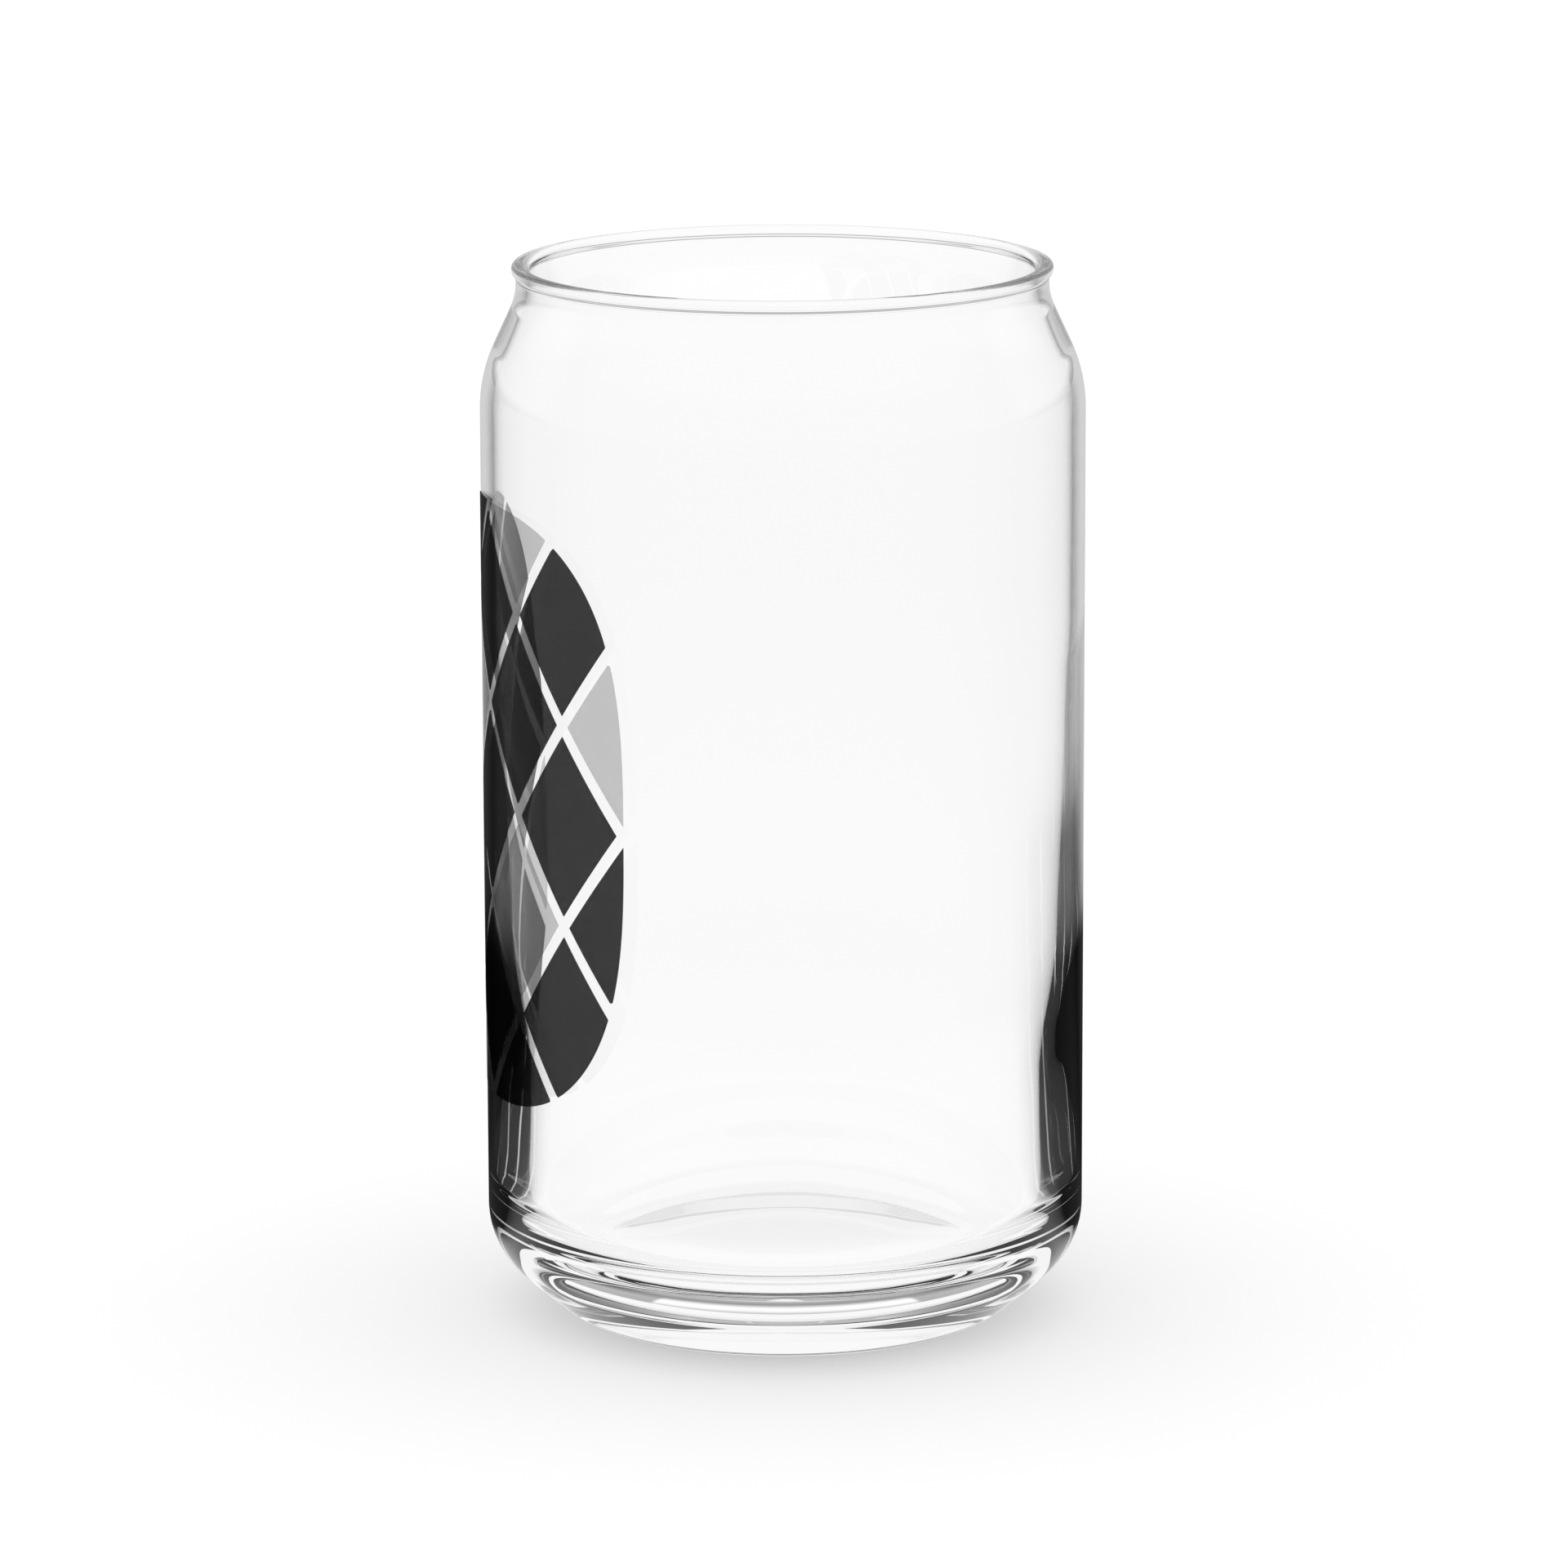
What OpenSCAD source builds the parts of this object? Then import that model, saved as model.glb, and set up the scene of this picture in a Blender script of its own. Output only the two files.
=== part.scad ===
// Can-shaped drinking glass with a printed panel.
// One piece of pressed clear glass: foot ring with a shallow punt, chamfered heel,
// straight body that thins upwards, shoulder, necked-in mouth and a beaded lip.
// Millimetres, +Z up, origin at the middle of the foot, the print faces -Y.

/* [Body] */
// Height from the foot ring to the top of the lip
glass_h = 134.4; // [110:0.2:170]
// Outside diameter of the straight body
body_d = 76; // [70:0.5:90]
// Wall of the upper body
wall_t = 1.7; // [1.2:0.1:2.4]
// Wall halfway down the taper
mid_wall_t = 3.2; // [2.6:0.1:4]
// Wall where the taper ends
low_wall_t = 4.9; // [4.2:0.1:5.6]
// Wall at the floor, inside its rounded corner
floor_wall_t = 5.3; // [4.6:0.1:6.5]

/* [Mouth] */
// Outside diameter of the lip bead
lip_d = 67.8; // [64:0.2:69]
// Thickness of the lip bead
lip_t = 2.2; // [1.8:0.1:2.8]
// Radius of the lip's outer edge
lip_edge_round = 0.6; // [0.4:0.05:0.65]
// Distance from the top of the lip down to the crease under the bead
bead_h = 1.7; // [1.6:0.05:1.9]
// Height over which the bead's underside slopes in to the crease
bead_slope_h = 0.65; // [0.5:0.05:0.7]
// Radius at both ends of the bead's underside
bead_round = 1; // [0.4:0.1:1]
// How far the neck under the bead lies inside it
neck_in = 0.55; // [0.3:0.05:0.8]
// Distance from the top of the lip down to the waist
waist_drop = 4.1; // [3.9:0.05:6]
// How far the hollow curve at the waist reaches up and down from its corner
waist_reach = 1.8; // [1:0.1:1.9]
// Distance from the top of the lip down to the shoulder corner
shoulder_drop = 14.1; // [12:0.1:20]
// Radius that rounds the shoulder
shoulder_round = 19; // [10:0.5:20]

/* [Base] */
// Diameter at which the chamfered heel would meet the table
heel_foot_d = 55.7; // [50:0.1:60]
// Height at which the chamfered heel would meet the body
heel_h = 8.8; // [7:0.1:12]
// Radius between the chamfer and the foot ring
foot_round = 6.3; // [3:0.1:7]
// Radius between the chamfer and the body
heel_round = 10.6; // [6:0.1:11]
// Width of the flat ring that the glass stands on
ring_w = 2.2; // [1:0.1:3]
// Radius on the inside of the standing ring
ring_round = 1.6; // [0.8:0.1:2]
// Depth of the punt under the base
punt_h = 0.8; // [0.4:0.1:2]
// Diameter of the flat top of the punt
punt_d = 30; // [16:0.5:34]
// Thickness of the base above the punt
base_t = 8.9; // [6:0.1:12]
// Radius between the floor and the wall
floor_round = 8.1; // [4:0.1:9]

/* [Print] */
// Width of the printed panel, measured round the body
print_w = 58; // [30:0.5:70]
// Height of the printed panel
print_h = 76; // [50:0.5:80]
// Squareness of the panel's outline, from an oval at 2 upwards
print_squareness = 3; // [2:0.25:5]
// Height of the panel's middle above the table
print_z = 68; // [60:0.5:72]
// Clear gap between neighbouring lozenges
print_gap = 1.6; // [0.8:0.1:2.5]
// Thickness of the fired ink
ink_t = 0.1; // [0.05:0.01:0.2]

/* [Hidden] */
// Corners of a rounded stretch, and segments round the glass
arc_steps = 10;
$fn = 180;

body_r = body_d / 2;
lip_r = lip_d / 2;
neck_r = lip_r - neck_in;
// The lip's inner edge is rounded over almost half its thickness
lip_round = lip_t / 2 - 0.02;
crease_z = glass_h - bead_h;
// The neck leans by this angle, and its hollow curve is as wide as its reach allows
neck_angle = atan2(abs(body_r - neck_r), shoulder_drop - waist_drop);
waist_round = waist_reach / tan(neck_angle / 2);
floor_z = punt_h + base_t;
// Slope of the chamfered heel above the table, and the outside of the standing ring
heel_angle = atan2(heel_h, body_r - heel_foot_d / 2);
ring_r = heel_foot_d / 2 - foot_round * tan(heel_angle / 2);
// The inner wall is drawn in straight stretches between these heights, blended by a wide radius
low_wall_z = 29;
mid_wall_z = 45;
thin_wall_z = 88;
wall_round = 150;

// Each corner of a section is [radius, height, rounding]
foot_corners = [
    [0, punt_h, 0],
    [punt_d / 2, punt_h, 30],
    [ring_r - ring_w, 0, ring_round],
    [heel_foot_d / 2, 0, foot_round],
    [body_r, heel_h, heel_round]
];
mouth_corners = [
    [body_r, glass_h - shoulder_drop, shoulder_round],
    [neck_r, glass_h - waist_drop, waist_round],
    [neck_r, crease_z, bead_round],
    [lip_r, crease_z + bead_slope_h, bead_round],
    [lip_r, glass_h, lip_edge_round]
];
inside_corners = [
    [lip_r - lip_t, glass_h, lip_round],
    [lip_r - lip_t, glass_h - waist_drop, waist_round + wall_t],
    [body_r - wall_t, glass_h - shoulder_drop - wall_t / 2, shoulder_round - wall_t],
    [body_r - wall_t, thin_wall_z, wall_round],
    [body_r - mid_wall_t, mid_wall_z, wall_round],
    [body_r - low_wall_t, low_wall_z, wall_round],
    [body_r - floor_wall_t, floor_z, floor_round],
    [0, floor_z, 0]
];

function unit(v) = v / norm(v);

// Points of a circular arc that rounds the corner b between a and c
function arc_at(a, b, c, rounding) =
    let (
        u = unit(a - b),
        v = unit(c - b),
        half = acos(u * v) / 2,
        middle = b + unit(u + v) * rounding / sin(half),
        from = b + u * rounding / tan(half) - middle,
        to = b + v * rounding / tan(half) - middle,
        start = atan2(from.y, from.x),
        turn = atan2(from.x * to.y - from.y * to.x, from * to)
    )
    [for (i = [0:arc_steps])
        middle + rounding * [cos(start + turn * i / arc_steps), sin(start + turn * i / arc_steps)]];

// A closed outline with each of its corners rounded as it says
function rounded(corners) = [
    for (i = [0:len(corners) - 1])
        let (corner = corners[i], point = [corner.x, corner.y])
        for (p = corner[2] == 0 ? [point] : arc_at(
            [corners[i - 1].x, corners[i - 1].y], point, [corners[i + 1].x, corners[i + 1].y], corner[2]))
            p
];

module glass() {
    color([0.93, 0.96, 0.96, 0.45])
    rotate_extrude()
    polygon(rounded(concat(foot_corners, mouth_corners, inside_corners)));
}

// The panel is filled with lozenges. Their columns and rows count from its middle,
// and each lozenge fills the space between its four neighbours, less the gap.
print_rings = 3;
column_step = print_w / 2 / print_rings;
row_step = print_h / 2 / print_rings;
places = [
    for (column = [-print_rings:print_rings], row = [-print_rings:print_rings])
        if ((column + row) % 2 == 0 && norm([column, row]) < print_rings + 0.5)
            [column, row]
];

// Every fourth diagonal of lozenges is light, apart from the middle one
function is_light(place) = abs(place.x - place.y) % 4 == 2 && place.x % 2 != 0;

// Distance along one half axis of a superellipse, from the cosine or sine of its angle
function bulged(share) = sign(share) * pow(abs(share), 2 / print_squareness);

// The edge of the whole panel, as seen unrolled
module print_outline() {
    polygon([for (turn = [0:5:355]) [print_w / 2 * bulged(cos(turn)), print_h / 2 * bulged(sin(turn))]]);
}

// One thin lozenge wrapped on the outside of the body
module lozenge(place) {
    slope = row_step / column_step;
    half_h = row_step - print_gap / 2 * sqrt(1 + slope * slope);
    half_w = half_h / slope;
    middle = [place.x * column_step, place.y * row_step];
    intersection() {
        difference() {
            cylinder(r = body_r + ink_t, h = glass_h);
            translate([0, 0, -1])
            cylinder(r = body_r, h = glass_h + 2);
        }
        rotate([0, 0, middle.x / body_r * 180 / PI])
        translate([0, 0, print_z + middle.y])
        rotate([90, 0, 0])
        linear_extrude(height = body_r + 2 * ink_t)
        intersection() {
            polygon([[-half_w, 0], [0, -half_h], [half_w, 0], [0, half_h]]);
            translate(-middle)
            print_outline();
        }
    }
}

module print_dark() {
    color([0.22, 0.22, 0.22])
    for (place = places)
        if (!is_light(place))
            lozenge(place);
}

module print_light() {
    color([0.76, 0.76, 0.76])
    for (place = places)
        if (is_light(place))
            lozenge(place);
}

glass();
print_dark();
print_light();
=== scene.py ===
"""Looks of a can-shaped drinking glass with a printed panel, on a plain white table.

Lengths are metres in the part's own frame: +Z up, origin at the middle of the foot, the print
faces -Y. The glass is one surface of revolution with a drawn profile, and the print is a set of
thin lozenges wrapped on its outside.
"""

import math

import bpy
import numpy as np
from mathutils import Matrix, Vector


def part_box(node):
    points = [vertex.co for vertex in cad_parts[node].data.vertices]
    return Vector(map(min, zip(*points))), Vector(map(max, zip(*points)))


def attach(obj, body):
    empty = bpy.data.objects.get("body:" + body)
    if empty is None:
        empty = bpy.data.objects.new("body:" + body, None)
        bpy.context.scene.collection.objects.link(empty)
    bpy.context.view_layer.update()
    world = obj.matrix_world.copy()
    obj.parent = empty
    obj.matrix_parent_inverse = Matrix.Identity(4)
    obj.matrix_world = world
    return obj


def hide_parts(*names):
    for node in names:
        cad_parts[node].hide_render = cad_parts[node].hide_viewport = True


bl_info = {
    "name": "Can Shaped Glass",
    "version": (1, 0, 0),
    "blender": (4, 5, 0),
    "location": "3D View > Sidebar > Can Glass",
    "description": "A clear can-shaped drinking glass with a printed panel",
    "category": "Object",
}

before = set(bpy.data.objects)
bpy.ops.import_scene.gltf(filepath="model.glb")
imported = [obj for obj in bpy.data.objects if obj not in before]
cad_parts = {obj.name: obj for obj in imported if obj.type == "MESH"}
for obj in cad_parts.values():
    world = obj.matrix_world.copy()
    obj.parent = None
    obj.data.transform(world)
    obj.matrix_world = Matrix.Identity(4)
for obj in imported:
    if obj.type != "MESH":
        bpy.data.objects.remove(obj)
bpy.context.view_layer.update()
GLASS_LOW, GLASS_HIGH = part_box("glass")
BODY = "root"
MM = 0.001


def length(name, description, default, **more):
    """A length property, given in millimetres and kept in metres."""
    return bpy.props.FloatProperty(
        name=name, description=description, default=default * MM, unit="LENGTH", precision=5, **more)


def colour(name, description, default):
    """A plain linear colour property."""
    return bpy.props.FloatVectorProperty(
        name=name, description=description, default=default, size=3, subtype="COLOR", min=0, max=1)


def number(name, description, default, **more):
    """A plain number property."""
    return bpy.props.FloatProperty(name=name, description=description, default=default, **more)


class GlassSizes(bpy.types.PropertyGroup):
    """Sizes of the glass itself."""

    height: length("Height", "From the foot ring to the top of the lip", GLASS_HIGH.z / MM)
    body_diameter: length(
        "Body", "Outside diameter of the straight body", (GLASS_HIGH.x - GLASS_LOW.x) / MM)
    wall: length("Wall", "Wall of the upper body", 1.7)
    mid_wall: length("Middle wall", "Wall where the taper grows steeper", 3.2)
    low_wall: length("Low wall", "Wall where the taper ends", 4.9)
    floor_wall: length("Floor wall", "Wall at the floor, inside its rounded corner", 5.3)
    lip_diameter: length("Lip", "Outside diameter of the lip bead", 67.8)
    lip_thickness: length("Lip thickness", "Thickness of the lip bead", 2.2)
    lip_edge_round: length("Lip edge", "Radius of the lip's outer edge", 0.6)
    bead_height: length("Bead height", "From the top of the lip down to the crease under the bead", 1.7)
    bead_slope: length("Bead slope", "Height over which the bead's underside slopes in", 0.65)
    bead_round: length("Bead rounding", "Radius at both ends of the bead's underside", 1)
    neck_inset: length("Neck inset", "How far the neck under the bead lies inside it", 0.55)
    waist_drop: length("Waist drop", "From the top of the lip down to the waist", 4.1)
    waist_reach: length("Waist reach", "How far the waist's hollow curve reaches up and down", 1.8)
    shoulder_drop: length("Shoulder drop", "From the top of the lip down to the shoulder", 14.1)
    shoulder_round: length("Shoulder rounding", "Radius that rounds the shoulder", 19)
    heel_foot_diameter: length("Heel foot", "Diameter where the heel's chamfer meets the table", 55.7)
    heel_height: length("Heel height", "Height where the heel's chamfer meets the body", 8.8)
    foot_round: length("Foot rounding", "Radius between the chamfer and the foot ring", 6.3)
    heel_round: length("Heel rounding", "Radius between the chamfer and the body", 10.6)
    ring_width: length("Ring width", "Width of the flat ring under the foot", 2.2)
    ring_round: length("Ring rounding", "Radius inside the foot ring", 1.6)
    punt_height: length("Punt height", "Depth of the punt under the base", 0.8)
    punt_diameter: length("Punt", "Diameter of the flat top of the punt", 30)
    base: length("Base", "Thickness of the base above the punt", 8.9)
    floor_round: length("Floor rounding", "Radius between the floor and the wall", 8.1)
    low_wall_height: length("Low wall height", "Height at which the low wall is measured", 29)
    mid_wall_height: length("Middle wall height", "Height at which the middle wall is measured", 45)
    thin_wall_height: length("Thin wall height", "Height above which the wall is thin", 88)
    wall_round: length("Wall rounding", "Radius that blends the stretches of the inner wall", 150)
    ripple: length("Ripple", "How far the inner wall wanders from a true round", 0.05)
    segments: bpy.props.IntProperty(
        name="Segments", description="Steps round the glass", default=240, min=48)


class PrintSizes(bpy.types.PropertyGroup):
    """Sizes and colours of the printed panel."""

    width: length("Width", "Width of the panel, measured round the body", 58)
    height: length("Height", "Height of the panel", 76)
    middle: length("Middle", "Height of the panel's middle above the table", 68)
    gap: length("Gap", "Clear gap between neighbouring lozenges", 1.6)
    squareness: number("Squareness", "Power of the panel's outline, 2 for an oval", 3, min=2)
    rings: bpy.props.IntProperty(
        name="Rings", description="Lozenges from the middle to the edge", default=3, min=1)
    thickness: length("Ink thickness", "Thickness of the fired ink", 0.1)
    bite: length("Ink bite", "How far the ink's back sits in the glass, so that no air shows", 0.01)
    dark: colour("Dark ink", "Colour that the dark ink lets through", (0.04, 0.04, 0.04))
    light: colour("Light ink", "Colour that the light ink lets through", (0.58, 0.58, 0.58))


class StageSizes(bpy.types.PropertyGroup):
    """Where the camera stands, its lens, and the table."""

    camera_azimuth: number("Camera azimuth", "Turn of the camera round the glass from -Y, in degrees", 75)
    camera_distance: length("Camera distance", "From the glass's axis to the camera, along the table", 962)
    camera_height: length("Camera height", "Height of the camera above the table", 274.7)
    camera_pitch: number("Camera pitch", "Tilt of the camera below level, in degrees", 12.147)
    camera_roll: number("Camera roll", "Turn of the camera about its own line of sight, in degrees", -0.18)
    camera_lens: number("Camera lens", "Focal length for a 36 mm sensor, in millimetres", 178.24)
    table_radius: length("Table radius", "Radius of the round white table", 4000)


def rounded_outline(corners, steps=14):
    """A profile in (radius, height) with its corners rounded.

    Each corner is (radius, height, rounding). A rounded corner becomes a circular arc that
    touches both of its sides: the arc's middle lies on the corner's bisector, at the rounding
    over the sine of half the corner's angle.
    """
    points = np.array([corner[:2] for corner in corners], float)
    pieces = []
    for i, corner in enumerate(corners):
        if corner[2] == 0:
            pieces.append(points[i:i + 1])
            continue
        before = points[i - 1] - points[i]
        after = points[i + 1] - points[i]
        before /= np.linalg.norm(before)
        after /= np.linalg.norm(after)
        half = math.acos(np.clip(before @ after, -1, 1)) / 2
        bisector = (before + after) / np.linalg.norm(before + after)
        middle = points[i] + bisector * corner[2] / math.sin(half)
        start = points[i] + before * corner[2] / math.tan(half) - middle
        end = points[i] + after * corner[2] / math.tan(half) - middle
        turn = math.atan2(start[0] * end[1] - start[1] * end[0], start @ end)
        angles = math.atan2(start[1], start[0]) + turn * np.linspace(0, 1, steps + 1)
        pieces.append(middle + corner[2] * np.stack([np.cos(angles), np.sin(angles)], axis=1))
    return np.concatenate(pieces)


def even_steps(outline, step):
    """The same profile with points added along its straight stretches, none longer than step."""
    pieces = []
    for start, end in zip(outline[:-1], outline[1:]):
        count = max(1, math.ceil(np.linalg.norm(end - start) / step))
        pieces.append(start + (end - start) * np.linspace(0, 1, count, endpoint=False)[:, None])
    pieces.append(outline[-1:])
    return np.concatenate(pieces)


def new_mesh_object(name, points, quads, triangles):
    """A smooth-shaded mesh object from arrays of points, quads and triangles."""
    mesh = bpy.data.meshes.new(name)
    quads = np.asarray(quads, np.int32).reshape(-1, 4)
    triangles = np.asarray(triangles, np.int32).reshape(-1, 3)
    loops = np.concatenate([quads.ravel(), triangles.ravel()])
    sides = np.concatenate([np.full(len(quads), 4), np.full(len(triangles), 3)])
    mesh.vertices.add(len(points))
    mesh.vertices.foreach_set("co", np.asarray(points, np.float32).ravel())
    mesh.loops.add(len(loops))
    mesh.loops.foreach_set("vertex_index", loops)
    mesh.polygons.add(len(sides))
    mesh.polygons.foreach_set("loop_start", np.concatenate([[0], np.cumsum(sides)[:-1]]))
    mesh.polygons.foreach_set("loop_total", sides)
    mesh.polygons.foreach_set("use_smooth", np.ones(len(sides), bool))
    mesh.update(calc_edges=True)
    mesh.validate()
    piece = bpy.data.objects.new(name, mesh)
    bpy.context.scene.collection.objects.link(piece)
    return piece


def grid_quads(rows, columns):
    """Quads of a grid of points that closes on itself from the last column to the first."""
    row, column = np.meshgrid(np.arange(rows - 1), np.arange(columns), indexing="ij")
    after = (column + 1) % columns
    here = row * columns
    above = here + columns
    corners = [here + column, here + after, above + after, above + column]
    return np.stack(corners, axis=-1).reshape(-1, 4)


# Longest step along the glass's profile
PROFILE_STEP = 1.4 * MM
# The rounding inside the lip is this much less than half the lip's thickness
LIP_FLAT = 0.02 * MM
# Radius between the punt's flat top and the ring
PUNT_ROUND = 30 * MM


def glass_profile(sizes):
    """The glass's outline from the punt's middle, up the outside and down to the floor's middle."""
    body = sizes.body_diameter / 2
    lip = sizes.lip_diameter / 2
    lip_round = sizes.lip_thickness / 2 - LIP_FLAT
    neck = lip - sizes.neck_inset
    neck_angle = math.atan2(abs(body - neck), sizes.shoulder_drop - sizes.waist_drop)
    waist_round = sizes.waist_reach / math.tan(neck_angle / 2)
    heel_foot = sizes.heel_foot_diameter / 2
    heel_angle = math.atan2(sizes.heel_height, body - heel_foot)
    ring = heel_foot - sizes.foot_round * math.tan(heel_angle / 2)
    floor = sizes.punt_height + sizes.base
    top = sizes.height
    outside = [
        (0, sizes.punt_height, 0),
        (sizes.punt_diameter / 2, sizes.punt_height, PUNT_ROUND),
        (ring - sizes.ring_width, 0, sizes.ring_round),
        (heel_foot, 0, sizes.foot_round),
        (body, sizes.heel_height, sizes.heel_round),
        (body, top - sizes.shoulder_drop, sizes.shoulder_round),
        (neck, top - sizes.waist_drop, waist_round),
        (neck, top - sizes.bead_height, sizes.bead_round),
        (lip, top - sizes.bead_height + sizes.bead_slope, sizes.bead_round),
        (lip, top, sizes.lip_edge_round),
    ]
    inside = [
        (lip - sizes.lip_thickness, top, lip_round),
        (lip - sizes.lip_thickness, top - sizes.waist_drop, waist_round + sizes.wall),
        (
            body - sizes.wall,
            top - sizes.shoulder_drop - sizes.wall / 2,
            sizes.shoulder_round - sizes.wall,
        ),
        (body - sizes.wall, sizes.thin_wall_height, sizes.wall_round),
        (body - sizes.mid_wall, sizes.mid_wall_height, sizes.wall_round),
        (body - sizes.low_wall, sizes.low_wall_height, sizes.wall_round),
        (body - sizes.floor_wall, floor, sizes.floor_round),
        (0, floor, 0),
    ]
    return even_steps(rounded_outline(outside + inside), PROFILE_STEP)


# The waves of the inner wall, as counts round the glass and up it, and the seed of their phases
WAVES = ((3, 1.3), (5, 2.1), (9, 1.1), (14, 3.3), (23, 2.3), (31, 5.1))
WAVE_SEED = 7
# Each wave is divided by its count round the glass to this power
WAVE_DECAY = 0.7
# The sum of the waves is divided by this to lie about between -1 and 1
WAVE_SUM = 1.6
# Share of the height at which the waves end, and over which they fade out below that
WAVES_END = 0.85
WAVES_FADE = 0.5


def ripple(turn, height, top, random):
    """Soft unevenness of the inner wall, about from -1 to 1.

    It is a sum of waves, each the product of a cosine round the glass and a cosine up it, with
    seeded phases. It fades to nothing towards the lip.
    """
    total = np.zeros(np.broadcast(turn, height).shape)
    for waves_round, waves_up in WAVES:
        phase = random.uniform(0, math.tau, 2)
        strength = 1 / waves_round ** WAVE_DECAY
        wave_round = np.cos(waves_round * turn + phase[0])
        wave_up = np.cos(math.tau * waves_up * height / top + phase[1])
        total += strength * wave_round * wave_up
    return total / WAVE_SUM * np.clip((top * WAVES_END - height) / (top * WAVES_FADE), 0, 1)


def make_glass(sizes):
    """The glass: its profile turned about +Z, so a point is (r cos a, r sin a, z).

    The rows of the grid run along the profile and the columns round the glass. The first and
    last points of the profile lie on the axis and close the surface with a fan each.
    """
    profile = glass_profile(sizes)
    inner = profile[1:-1]
    turn = np.arange(sizes.segments) / sizes.segments * math.tau
    radius = np.repeat(inner[:, :1], sizes.segments, axis=1)
    height = np.repeat(inner[:, 1:], sizes.segments, axis=1)
    is_inside = np.arange(len(inner)) > np.argmax(inner[:, 1])
    depth = np.clip(radius / (sizes.body_diameter / 2), 0, 1) * is_inside[:, None]
    waves = ripple(turn[None], height, sizes.height, np.random.default_rng(WAVE_SEED))
    radius = radius + sizes.ripple * depth * waves
    points = np.stack([radius * np.cos(turn), radius * np.sin(turn), height], axis=-1).reshape(-1, 3)
    poles = [[0, 0, profile[0, 1]], [0, 0, profile[-1, 1]]]
    under, floor = len(points), len(points) + 1
    first = np.arange(sizes.segments)
    after = (first + 1) % sizes.segments
    last = len(points) - sizes.segments
    fans = np.concatenate([
        np.stack([np.full_like(first, under), after, first], axis=1),
        np.stack([np.full_like(first, floor), last + first, last + after], axis=1),
    ])
    quads = grid_quads(len(inner), sizes.segments)
    return new_mesh_object("drinking_glass", np.concatenate([points, poles]), quads, fans)


def lozenge_places(rings):
    """Columns and rows of the lozenges that reach into the panel, counted from its middle.

    Each column and row add up to an even number, and their root of summed squares is less than half
    a step past the rings.
    """
    span = range(-rings, rings + 1)
    return [
        (column, row) for column in span for row in span
        if (column + row) % 2 == 0 and math.hypot(column, row) < rings + 0.5]


def is_light(place):
    """Every other diagonal of the odd columns is printed in the light ink."""
    column, row = place
    return column % 2 == 1 and abs(column - row) % 4 == 2


# Points tried for the middle of a lozenge, and halvings of each ray to its edge
HUB_TRIES = 200
HALVINGS = 40


def lozenge_edge(place, sizes, steps=192):
    """The edge of one lozenge in the unrolled panel, and the point that it is drawn round.

    That point is the mean of those that lie in the lozenge and in the panel on the way from the
    lozenge's middle to halfway to the panel's. From it, a ray leaves in each direction. Its length
    is halved again and again between nothing and the panel's size until it ends on the lozenge or
    on the panel's outline, |x/a|^n + |y/b|^n = 1, whichever comes first.
    """
    step = np.array([sizes.width, sizes.height]) / 2 / sizes.rings
    slope = step[1] / step[0]
    half_height = step[1] - sizes.gap / 2 * math.hypot(1, slope)
    half = np.array([half_height / slope, half_height])
    middle = np.array(place) * step
    panel = np.array([sizes.width, sizes.height]) / 2

    def is_in(points):
        in_lozenge = np.abs((points - middle) / half).sum(axis=-1) <= 1
        return in_lozenge & ((np.abs(points / panel) ** sizes.squareness).sum(axis=-1) <= 1)

    inwards = np.linspace(1, 0.5, HUB_TRIES)[:, None] * middle
    hub = inwards[is_in(inwards)].mean(axis=0)
    corners = middle + half * np.array([[1, 0], [0, 1], [-1, 0], [0, -1]]) - hub
    even = np.linspace(-math.pi, math.pi, steps, endpoint=False)
    angles = np.unique(np.concatenate([even, np.arctan2(corners[:, 1], corners[:, 0])]))
    rays = np.stack([np.cos(angles), np.sin(angles)], axis=1)
    low, high = np.zeros(len(rays)), np.full(len(rays), sizes.width + sizes.height)
    for _ in range(HALVINGS):
        reach = (low + high) / 2
        inside = is_in(hub + rays * reach[:, None])
        low, high = np.where(inside, reach, low), np.where(inside, high, reach)
    return hub + rays * low[:, None], hub


def wrapped(points, radius, sizes):
    """Unrolled panel points put on a cylinder: a point x along the panel lies x over the body's
    radius round from -Y."""
    body = bpy.context.scene.glass_sizes.body_diameter / 2
    turn = points[..., 0] / body
    height = sizes.middle + points[..., 1]
    return np.stack([radius * np.sin(turn), -radius * np.cos(turn), height], axis=-1)


# Faces that meet at more than this angle have a sharp edge between them
PLATE_EDGE = math.radians(40)


def make_print(name, places, sizes, rings=6):
    """All lozenges of one ink as thin closed plates.

    Each plate is a stack of rings: from its middle out over the face, down its edge and back
    over its underside to the middle.
    """
    body = bpy.context.scene.glass_sizes.body_diameter / 2
    face, back = body + sizes.thickness, body - sizes.bite
    points, quads, fans, start = [], [], [], 0
    for place in places:
        edge, hub = lozenge_edge(place, sizes)
        out = np.linspace(0, 1, rings + 1)[1:, None, None]
        flat = hub + (edge - hub) * out
        front = wrapped(flat, face, sizes).reshape(-1, 3)
        rear = wrapped(flat[::-1], back, sizes).reshape(-1, 3)
        hubs = np.stack([wrapped(hub, face, sizes), wrapped(hub, back, sizes)])
        count = len(edge)
        first = np.arange(count)
        after = (first + 1) % count
        last = (2 * rings - 1) * count
        points += [front, rear, hubs]
        face_hub = np.full(count, 2 * rings * count)
        quads.append(grid_quads(2 * rings, count)[:, ::-1] + start)
        fans.append(np.stack([face_hub, first, after], axis=1) + start)
        fans.append(np.stack([face_hub + 1, last + after, last + first], axis=1) + start)
        start += 2 * rings * count + 2
    piece = new_mesh_object(name, np.concatenate(points), np.concatenate(quads), np.concatenate(fans))
    piece.data.set_sharp_from_angle(angle=PLATE_EDGE)
    return piece


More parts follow.
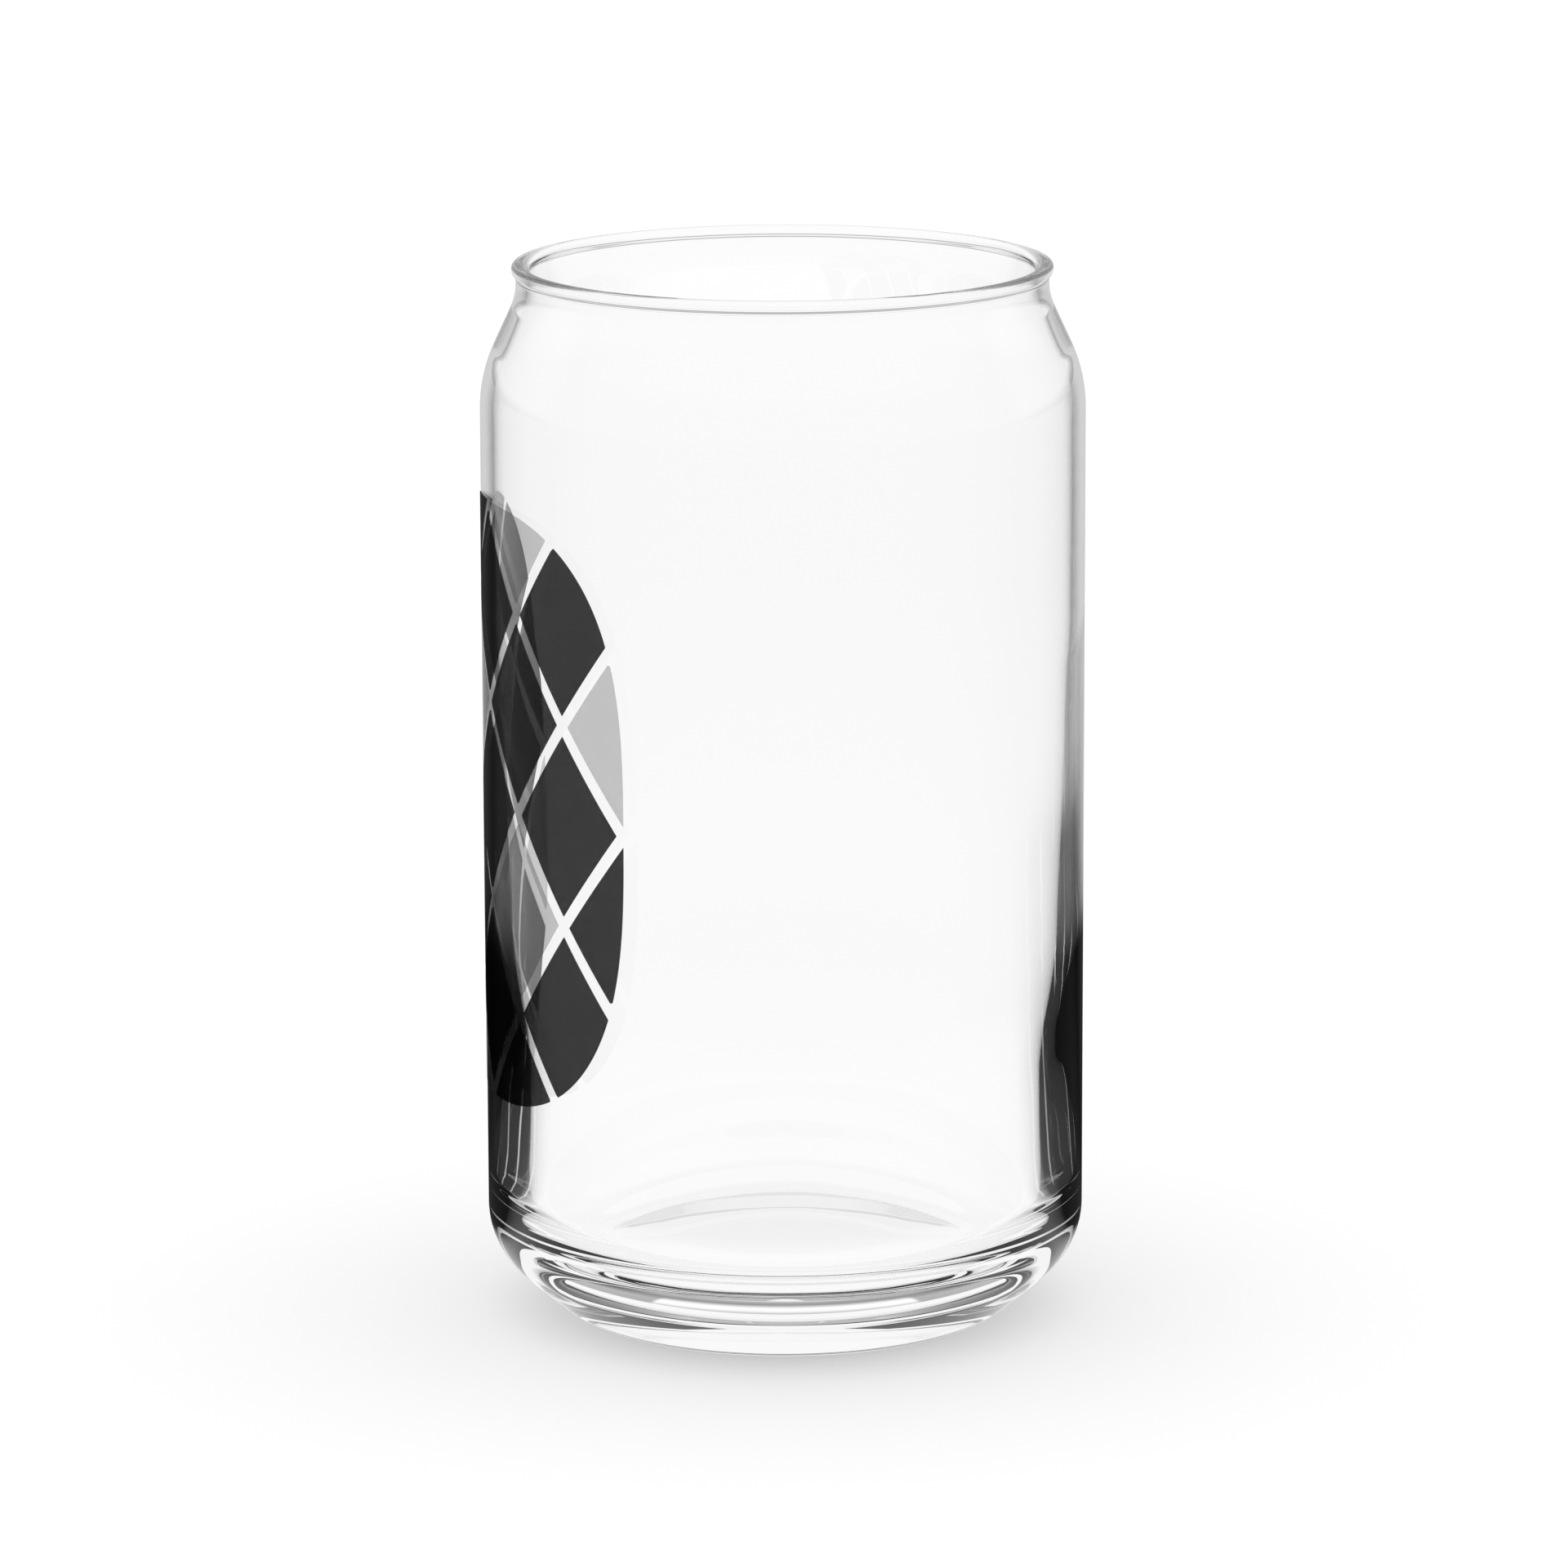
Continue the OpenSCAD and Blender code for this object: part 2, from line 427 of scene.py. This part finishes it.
class Number:
    """A number socket of a shader. Arithmetic on it adds Math nodes."""

    def __init__(self, shader, socket):
        self.shader = shader
        self.socket = socket

    def _math(self, operation, first, second=None):
        values = {0: first} if second is None else {0: first, 1: second}
        return self.shader.number("ShaderNodeMath", {"operation": operation}, values)

    def __add__(self, other):
        return self._math("ADD", self, other)

    __radd__ = __add__

    def __sub__(self, other):
        return self._math("SUBTRACT", self, other)

    def __rsub__(self, other):
        return self._math("SUBTRACT", other, self)

    def __mul__(self, other):
        return self._math("MULTIPLY", self, other)

    __rmul__ = __mul__

    def __truediv__(self, other):
        return self._math("DIVIDE", self, other)

    def __gt__(self, other):
        return self._math("GREATER_THAN", self, other)

    def power(self, other):
        return self._math("POWER", self, other)

    def arctan2(self, other):
        return self._math("ARCTAN2", self, other)

    def fraction(self):
        return self._math("FRACT", self)

    def size(self):
        return self._math("ABSOLUTE", self)

    def largest(self, other):
        return self._math("MAXIMUM", self, other)

    def within(self):
        """The number kept between 0 and 1."""
        return self.shader.number("ShaderNodeClamp", {}, {0: self})


class Shader:
    """A node tree of a material or the world that is being built."""

    def __init__(self, owner):
        owner.use_nodes = True
        self.tree = owner.node_tree
        self.tree.nodes.clear()

    def node(self, kind, settings=None, values=None):
        """Adds a node: its settings first, then the values or links of its sockets.

        A setting named stops fills a colour ramp with (position, grey) pairs.
        """
        node = self.tree.nodes.new(kind)
        for key, setting in (settings or {}).items():
            if key == "stops":
                fill_ramp(node.color_ramp, setting)
            else:
                setattr(node, key, setting)
        for key, value in (values or {}).items():
            value = value.socket if isinstance(value, Number) else value
            if isinstance(value, bpy.types.NodeSocket):
                self.tree.links.new(value, node.inputs[key])
            else:
                node.inputs[key].default_value = value
        return node

    def number(self, kind, settings=None, values=None, output=0):
        """A node's output as a number."""
        return Number(self, self.node(kind, settings, values).outputs[output])

    def mixed(self, factor, first, second):
        """The first shader where the factor is 0, and the second where it is 1."""
        return self.node("ShaderNodeMixShader", {}, {"Fac": factor, 1: first, 2: second}).outputs[0]

    def clear(self, share):
        """A shader that lets this share of the light straight through."""
        return self.node("ShaderNodeBsdfTransparent", {}, {"Color": (share, share, share, 1)}).outputs[0]

    def ramp(self, stops, factor):
        """The grey of a colour ramp at the factor."""
        return self.number("ShaderNodeValToRGB", {"stops": stops}, {"Fac": factor})

    def noise(self, place, scale, detail, **more):
        """A noise about 0.5: this many bumps to the metre, and this many finer layers on them."""
        values = {"Vector": place, "Scale": scale, "Detail": detail, **more}
        return self.number("ShaderNodeTexNoise", {}, values)

    def parts(self, vector):
        """A vector's x, y and z."""
        outputs = self.node("ShaderNodeSeparateXYZ", {}, {0: vector}).outputs
        return [Number(self, part) for part in outputs]

    def output(self, surface, kind="ShaderNodeOutputMaterial"):
        """Makes this shader the surface."""
        self.node(kind, {}, {"Surface": surface})


def fill_ramp(ramp, stops):
    """Sets a colour ramp's stops from (position, grey) pairs."""
    while len(ramp.elements) < len(stops):
        ramp.elements.new(0.5)
    for element, (position, grey) in zip(ramp.elements, stops):
        element.position = position
        element.color = (grey, grey, grey, 1)


class LightPath:
    """What a ray from the camera has met so far, as numbers that are 0 or 1.

    The glossy depth counts how often it was mirrored, and the transmission depth how many faces of
    the glass it has passed. The first face takes it into the near wall, and the third into what
    lies behind that wall.
    """

    def __init__(self, shader):
        outputs = shader.node("ShaderNodeLightPath").outputs

        def value(name):
            return Number(shader, outputs[name])

        def at_least(count, name):
            return value(name) > count - 0.5

        self.is_camera = value("Is Camera Ray")
        self.is_bent = (value("Is Transmission Ray") + value("Is Glossy Ray")).within()
        self.is_lighting = (value("Is Shadow Ray") + value("Is Diffuse Ray")).within()
        self.is_mirrored = at_least(1, "Glossy Depth")
        self.is_trapped = at_least(4, "Glossy Depth")
        self.is_inside = at_least(1, "Transmission Depth")
        self.is_behind = at_least(3, "Transmission Depth")


# A ray that is mirrored inside the glass again and again might never leave it. It goes straight on
# instead, behind the near wall at any height, and elsewhere the more the higher between these two
TRAP_LOW = 55 * MM
TRAP_HIGH = 115 * MM
# Shares of the light that pass a face of the glass on such a ray, and on a ray that lights the table
TRAPPED_SHARE = 0.95
SHADOW_SHARE = 0.7
# Share of the ink's look that is gloss, and how rough that is
INK_GLOSS = 0.02
INK_ROUGHNESS = 0.15


def clear_glass():
    """Polished clear glass. Rays that light the table and rays that are trapped in the glass go
    straight through it."""
    material = bpy.data.materials.new("clear_glass")
    shader = Shader(material)
    glass = shader.node("ShaderNodeBsdfPrincipled", {}, {
        "Base Color": (1, 1, 1, 1), "Roughness": 0.0, "IOR": 1.5, "Transmission Weight": 1.0}).outputs[0]
    path = LightPath(shader)
    height = shader.parts(shader.node("ShaderNodeTexCoord").outputs["Object"])[2]
    escape = ((height - TRAP_LOW) / (TRAP_HIGH - TRAP_LOW)).within()
    leaves = path.is_trapped * (escape + path.is_behind).within()
    seen = shader.mixed(leaves, glass, shader.clear(TRAPPED_SHARE))
    shader.output(shader.mixed(path.is_lighting, seen, shader.clear(SHADOW_SHARE)))
    return material


def fired_ink(name, dye_colour):
    """Ink fired on the glass: a dye that light passes twice, at its face and at its back, under a
    faint gloss. What is mirrored behind the near wall doesn't show it."""
    material = bpy.data.materials.new(name)
    shader = Shader(material)
    through = tuple(math.sqrt(part) for part in dye_colour) + (1,)
    dye = shader.node("ShaderNodeBsdfTransparent", {}, {"Color": through}).outputs[0]
    path = LightPath(shader)
    seen = shader.mixed(path.is_mirrored * path.is_behind, dye, shader.clear(1))
    gloss = shader.node("ShaderNodeBsdfGlossy", {}, {"Color": (1, 1, 1, 1), "Roughness": INK_ROUGHNESS})
    shader.output(shader.mixed(INK_GLOSS, seen, gloss.outputs[0]))
    return material


# Painted greys that the table glows with in what the glass mirrors, by the distance from the glass's axis
# in metres: a painted reflection of a dark studio round the glass. Light that was mirrored by the near wall
# shows the first across from the camera and the second on the camera's side, and light that was mirrored
# behind that wall shows the third
WALL_TABLE = (
    (0, 0.9), (0.045, 0.9), (0.055, 0.045), (0.216, 0.045), (0.228, 0.2), (0.24, 0.45), (0.27, 0.65),
    (1, 0.65))
FRONT_TABLE = ((0, 0.95), (0.09, 0.95), (0.12, 0.5), (1, 0.5))
BEHIND_TABLE = ((0, 0.95), (0.2, 0.95), (0.35, 0.75), (1, 0.75))
# Greys of the room by the height above the horizon in degrees. Light that only passed through the
# glass shows the first, light that was mirrored in the near wall the second, and light that was
# mirrored on its outside or behind it the third
DIRECT_BANDS = (
    (-90, 1), (7, 1), (9, 0.45), (13, 0.45), (16, 1), (20, 1), (28, 0.3), (50, 0.3), (65, 1), (90, 1))
WALL_BANDS = ((-90, 0.4), (-5, 0.4), (-1, 0.3), (2, 0.95), (90, 0.95))
BEHIND_BANDS = ((-90, 0.7), (24, 0.7), (34, 0.95), (90, 0.95))
# Grey of the room on the camera's side, as light that was mirrored in the near wall shows it
FRONT_ROOM = 0.5
# Cosine towards the backdrop at which the camera's side begins, and how sharply
FRONT_START = 0.35
FRONT_SHARPNESS = 4
# Grey boards flank the backdrop, from this angle off it to a right angle and between these sines of
# the height above the horizon. Only light that passed through the glass shows them
BOARD_START = math.radians(19)
BOARD_LOW = 0.05
BOARD_HIGH = math.sin(math.radians(30))
BOARD_SIDE_SHARPNESS = 200
BOARD_UP_SHARPNESS = 20
BOARD_GREY = 0.4
# Thin painted bright streaks glow away from the glass across the dark part of the table, seen only in the
# glass. Their half width is a share of the room that each has, and a coarse noise ends them where it is
# below the break
STREAKS = 34
STREAK_WIDTH = 0.08
STREAK_SHARPNESS = 25
STREAK_GREY = 0.6
BREAK_SCALE = 9
BREAK = 0.4
BREAK_SHARPNESS = 12
# Painted bright wisps glow where a fine noise is above the level
WISP_SCALE = 22
WISP_LEVEL = 0.48
WISP_SHARPNESS = 2.5
WISP_CONTRAST = 1.5
WISP_GREY = 0.4
# A fine noise makes the streaks wander by a share of their room, and the borders of the strip and of
# the camera's side by a difference of cosines
WANDER_SCALE = 60
STREAK_WANDER = 0.25
BORDER_WANDER = 0.06
# A painted darker strip shows on the table in what the near wall mirrors: painted shade in the glass's
# reflection. It lies round this angle off the backdrop, and its reach to each side is a difference of
# cosines
STRIP = math.radians(37)
STRIP_REACH = 0.11
STRIP_DARKNESS = 0.6
# The table's matt white, and what the camera sees on top of it so that the table comes out white
MATT_WHITE = (0.8, 0.8, 0.8, 1)
TABLE_GLOW = 0.27


def towards_backdrop(shader, place, azimuth):
    """Cosine of the angle, seen from above, between a place or direction and the backdrop, which
    stands across the glass from the camera."""
    x, y, _ = shader.parts(place)
    return (y * math.cos(azimuth) - x * math.sin(azimuth)) / (x * x + y * y).power(0.5)


def on_camera_side(beside):
    """1 where a place or direction lies on the camera's side of the glass, from its cosine towards the
    backdrop, with a soft border."""
    return ((FRONT_START - beside) * FRONT_SHARPNESS).within()


def between(value, low, high, sharpness):
    """1 where the value lies between low and high, with soft borders."""
    return ((value - low) * sharpness).within() * ((high - value) * sharpness).within()


def painted_streaks_and_wisps(shader, place, wander):
    """Painted bright streaks and wisps that the table glows with, seen only in the glass.

    The streaks lie where the turn round the glass, times their count, is near a half past a whole
    number, and a coarse noise breaks them. The wisps are what of a fine noise is above a level.
    """
    x, y, _ = shader.parts(place)
    turn = y.arctan2(x) / math.tau
    across = ((turn * STREAKS + wander * STREAK_WANDER).fraction() - 0.5).size()
    whole = ((shader.noise(place, BREAK_SCALE, 1) - BREAK) * BREAK_SHARPNESS).within()
    streaks = ((STREAK_WIDTH - across) * STREAK_SHARPNESS).within() * whole
    cloud = shader.noise(place, WISP_SCALE, 6, Roughness=0.65, Distortion=1.2)
    wisps = ((cloud - WISP_LEVEL) * WISP_SHARPNESS).within().power(WISP_CONTRAST)
    return (streaks * STREAK_GREY).largest(wisps * WISP_GREY)


def white_table(azimuth):
    """Matt white table. Where the glass bends or mirrors rays to it, it glows instead with painted greys:
    light that was mirrored by the glass's near wall shows it dark round the glass, like a black card in a
    white studio, which gives clear glass its painted dark edges."""
    material = bpy.data.materials.new("white_table")
    shader = Shader(material)
    path = LightPath(shader)
    place = shader.node("ShaderNodeTexCoord").outputs["Object"]
    distance = shader.number("ShaderNodeVectorMath", {"operation": "LENGTH"}, {0: place}, output=1)
    wander = shader.noise(place, WANDER_SCALE, 3) - 0.5
    beside = towards_backdrop(shader, place, azimuth) + wander * BORDER_WANDER

    def glow(grey):
        return shader.node("ShaderNodeEmission", {}, {"Color": grey, "Strength": 1.0}).outputs[0]

    # Painted bright streaks and wisps, shown only in what passed into the glass
    painted_glints = painted_streaks_and_wisps(shader, place, wander) * path.is_inside
    # Painted darker strip, painted shade in what the near wall mirrors
    strip = (1 - (beside - math.cos(STRIP)).size() / STRIP_REACH).within() * STRIP_DARKNESS
    wall = (shader.ramp(WALL_TABLE, distance) * (1 - strip)).largest(painted_glints)
    front = shader.ramp(FRONT_TABLE, distance)
    near = shader.mixed(on_camera_side(beside), glow(wall), glow(front))
    mirrored = shader.mixed(path.is_behind, near, glow(shader.ramp(BEHIND_TABLE, distance)))
    # Through the glass the table glows plain white, and in what the glass mirrors it glows with the painted
    # greys
    bent = shader.mixed(path.is_mirrored, glow((1, 1, 1, 1)), mirrored)
    matt = shader.node("ShaderNodeBsdfDiffuse", {}, {"Color": MATT_WHITE}).outputs[0]
    lit = shader.node("ShaderNodeAddShader", {}, {0: matt, 1: glow(path.is_camera * TABLE_GLOW)}).outputs[0]
    shader.output(shader.mixed(path.is_bent, lit, bent))
    return material


def bands_by_height(shader, up, bands):
    """The grey of the room at a height, from bands of greys by degrees above the horizon. The height
    comes as its sine."""
    stops = [((math.sin(math.radians(angle)) + 1) / 2, grey) for angle, grey in bands]
    return shader.ramp(stops, up * 0.5 + 0.5)


def studio_world(world, azimuth):
    """A white room. Seen through the glass, it has grey bands up its walls and grey boards beside its
    backdrop. What the glass mirrors of it is grey up to the horizon and on the camera's side."""
    shader = Shader(world)
    path = LightPath(shader)
    direction = shader.node("ShaderNodeTexCoord").outputs["Generated"]
    up = shader.parts(direction)[2]
    beside = towards_backdrop(shader, direction, azimuth)

    def glow(grey):
        return shader.node("ShaderNodeBackground", {}, {"Color": grey, "Strength": 1.0}).outputs[0]

    def plain(grey):
        return glow((grey, grey, grey, 1))

    def bands(rows):
        return glow(bands_by_height(shader, up, rows))

    near = shader.mixed(on_camera_side(beside), bands(WALL_BANDS), plain(FRONT_ROOM))
    mirrored = shader.mixed(path.is_inside * (1 - path.is_behind), bands(BEHIND_BANDS), near)
    sideways = between(1 - beside, 1 - math.cos(BOARD_START), 1, BOARD_SIDE_SHARPNESS)
    board = sideways * between(up, BOARD_LOW, BOARD_HIGH, BOARD_UP_SHARPNESS)
    passed = shader.mixed(board, bands(DIRECT_BANDS), plain(BOARD_GREY))
    bent = shader.mixed(path.is_mirrored, passed, mirrored)
    shader.output(shader.mixed(path.is_bent, plain(1), bent), "ShaderNodeOutputWorld")


def make_table(radius, rings=24, segments=96):
    """The table: a flat disc whose rings lie closer together near the glass. Their radius grows with
    the square of their number."""
    turn = np.arange(segments) / segments * math.tau
    reach = radius * (np.arange(1, rings + 1) / rings)[:, None] ** 2
    flat = np.zeros((rings, segments))
    points = np.stack([reach * np.cos(turn), reach * np.sin(turn), flat], axis=-1).reshape(-1, 3)
    first = np.arange(segments)
    fan = np.stack([np.full(segments, len(points)), first, (first + 1) % segments], axis=1)
    quads = grid_quads(rings, segments)[:, ::-1]
    return new_mesh_object("table", np.concatenate([points, [[0, 0, 0]]]), quads, fan)


class OBJECT_OT_can_glass_body(bpy.types.Operator):
    """Makes the clear glass and hides the plain solid that it stands for"""

    bl_idname = "object.can_glass_body"
    bl_label = "Glass"

    def execute(self, context):
        glass = make_glass(context.scene.glass_sizes)
        glass.data.materials.append(clear_glass())
        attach(glass, BODY)
        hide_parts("glass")
        return {"FINISHED"}


class OBJECT_OT_can_glass_print(bpy.types.Operator):
    """Prints the panel of lozenges in its two inks"""

    bl_idname = "object.can_glass_print"
    bl_label = "Print"

    def execute(self, context):
        sizes = context.scene.print_sizes
        places = lozenge_places(sizes.rings)
        light = [place for place in places if is_light(place)]
        dark = [place for place in places if not is_light(place)]
        inks = (
            ("lozenges_dark", "print_dark", "ink_charcoal", sizes.dark, dark),
            ("lozenges_light", "print_light", "ink_grey", sizes.light, light),
        )
        for name, node, slot, dye_colour, chosen in inks:
            piece = make_print(name, chosen, sizes)
            piece.data.materials.append(fired_ink(slot, dye_colour))
            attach(piece, BODY)
            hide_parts(node)
        return {"FINISHED"}


class OBJECT_OT_can_glass_stage(bpy.types.Operator):
    """Sets up the white table, the studio light and the camera"""

    bl_idname = "object.can_glass_stage"
    bl_label = "Stage"

    def execute(self, context):
        stage = context.scene.stage_sizes
        scene = context.scene
        table = make_table(stage.table_radius)
        azimuth = math.radians(stage.camera_azimuth)
        table.data.materials.append(white_table(azimuth))
        scene.world = scene.world or bpy.data.worlds.new("Studio")
        studio_world(scene.world, azimuth)
        camera = bpy.data.cameras.new("Camera")
        camera.lens = stage.camera_lens
        camera.sensor_width = 36
        camera.clip_end = 20
        holder = bpy.data.objects.new("Camera", camera)
        roll = Matrix.Rotation(math.radians(stage.camera_roll), 3, "Z")
        tilt = Matrix.Rotation(math.radians(90 - stage.camera_pitch), 3, "X")
        holder.rotation_euler = (Matrix.Rotation(azimuth, 3, "Z") @ tilt @ roll).to_euler()
        holder.location = (
            stage.camera_distance * math.sin(azimuth),
            -stage.camera_distance * math.cos(azimuth),
            stage.camera_height,
        )
        scene.collection.objects.link(holder)
        scene.camera = holder
        scene.view_settings.view_transform = "Standard"
        return {"FINISHED"}


class VIEW3D_PT_can_glass(bpy.types.Panel):
    """Lists the steps and sizes of the glass in the sidebar"""

    bl_label = "Can Glass"
    bl_space_type = "VIEW_3D"
    bl_region_type = "UI"
    bl_category = "Can Glass"

    def draw(self, context):
        for operator in OPERATORS:
            self.layout.operator(operator.bl_idname)
        for group in (context.scene.glass_sizes, context.scene.print_sizes, context.scene.stage_sizes):
            box = self.layout.box()
            for name in group.__annotations__:
                box.prop(group, name)


OPERATORS = (OBJECT_OT_can_glass_body, OBJECT_OT_can_glass_print, OBJECT_OT_can_glass_stage)
GROUPS = {"glass_sizes": GlassSizes, "print_sizes": PrintSizes, "stage_sizes": StageSizes}


def register():
    for group in GROUPS.values():
        bpy.utils.register_class(group)
    for name, group in GROUPS.items():
        setattr(bpy.types.Scene, name, bpy.props.PointerProperty(type=group))
    for operator in OPERATORS:
        bpy.utils.register_class(operator)
    bpy.utils.register_class(VIEW3D_PT_can_glass)


def unregister():
    bpy.utils.unregister_class(VIEW3D_PT_can_glass)
    for operator in reversed(OPERATORS):
        bpy.utils.unregister_class(operator)
    for name in GROUPS:
        delattr(bpy.types.Scene, name)
    for group in reversed(GROUPS.values()):
        bpy.utils.unregister_class(group)


def main():
    register()
    bpy.ops.object.can_glass_body()
    bpy.ops.object.can_glass_print()
    bpy.ops.object.can_glass_stage()


if __name__ == "__main__":
    main()
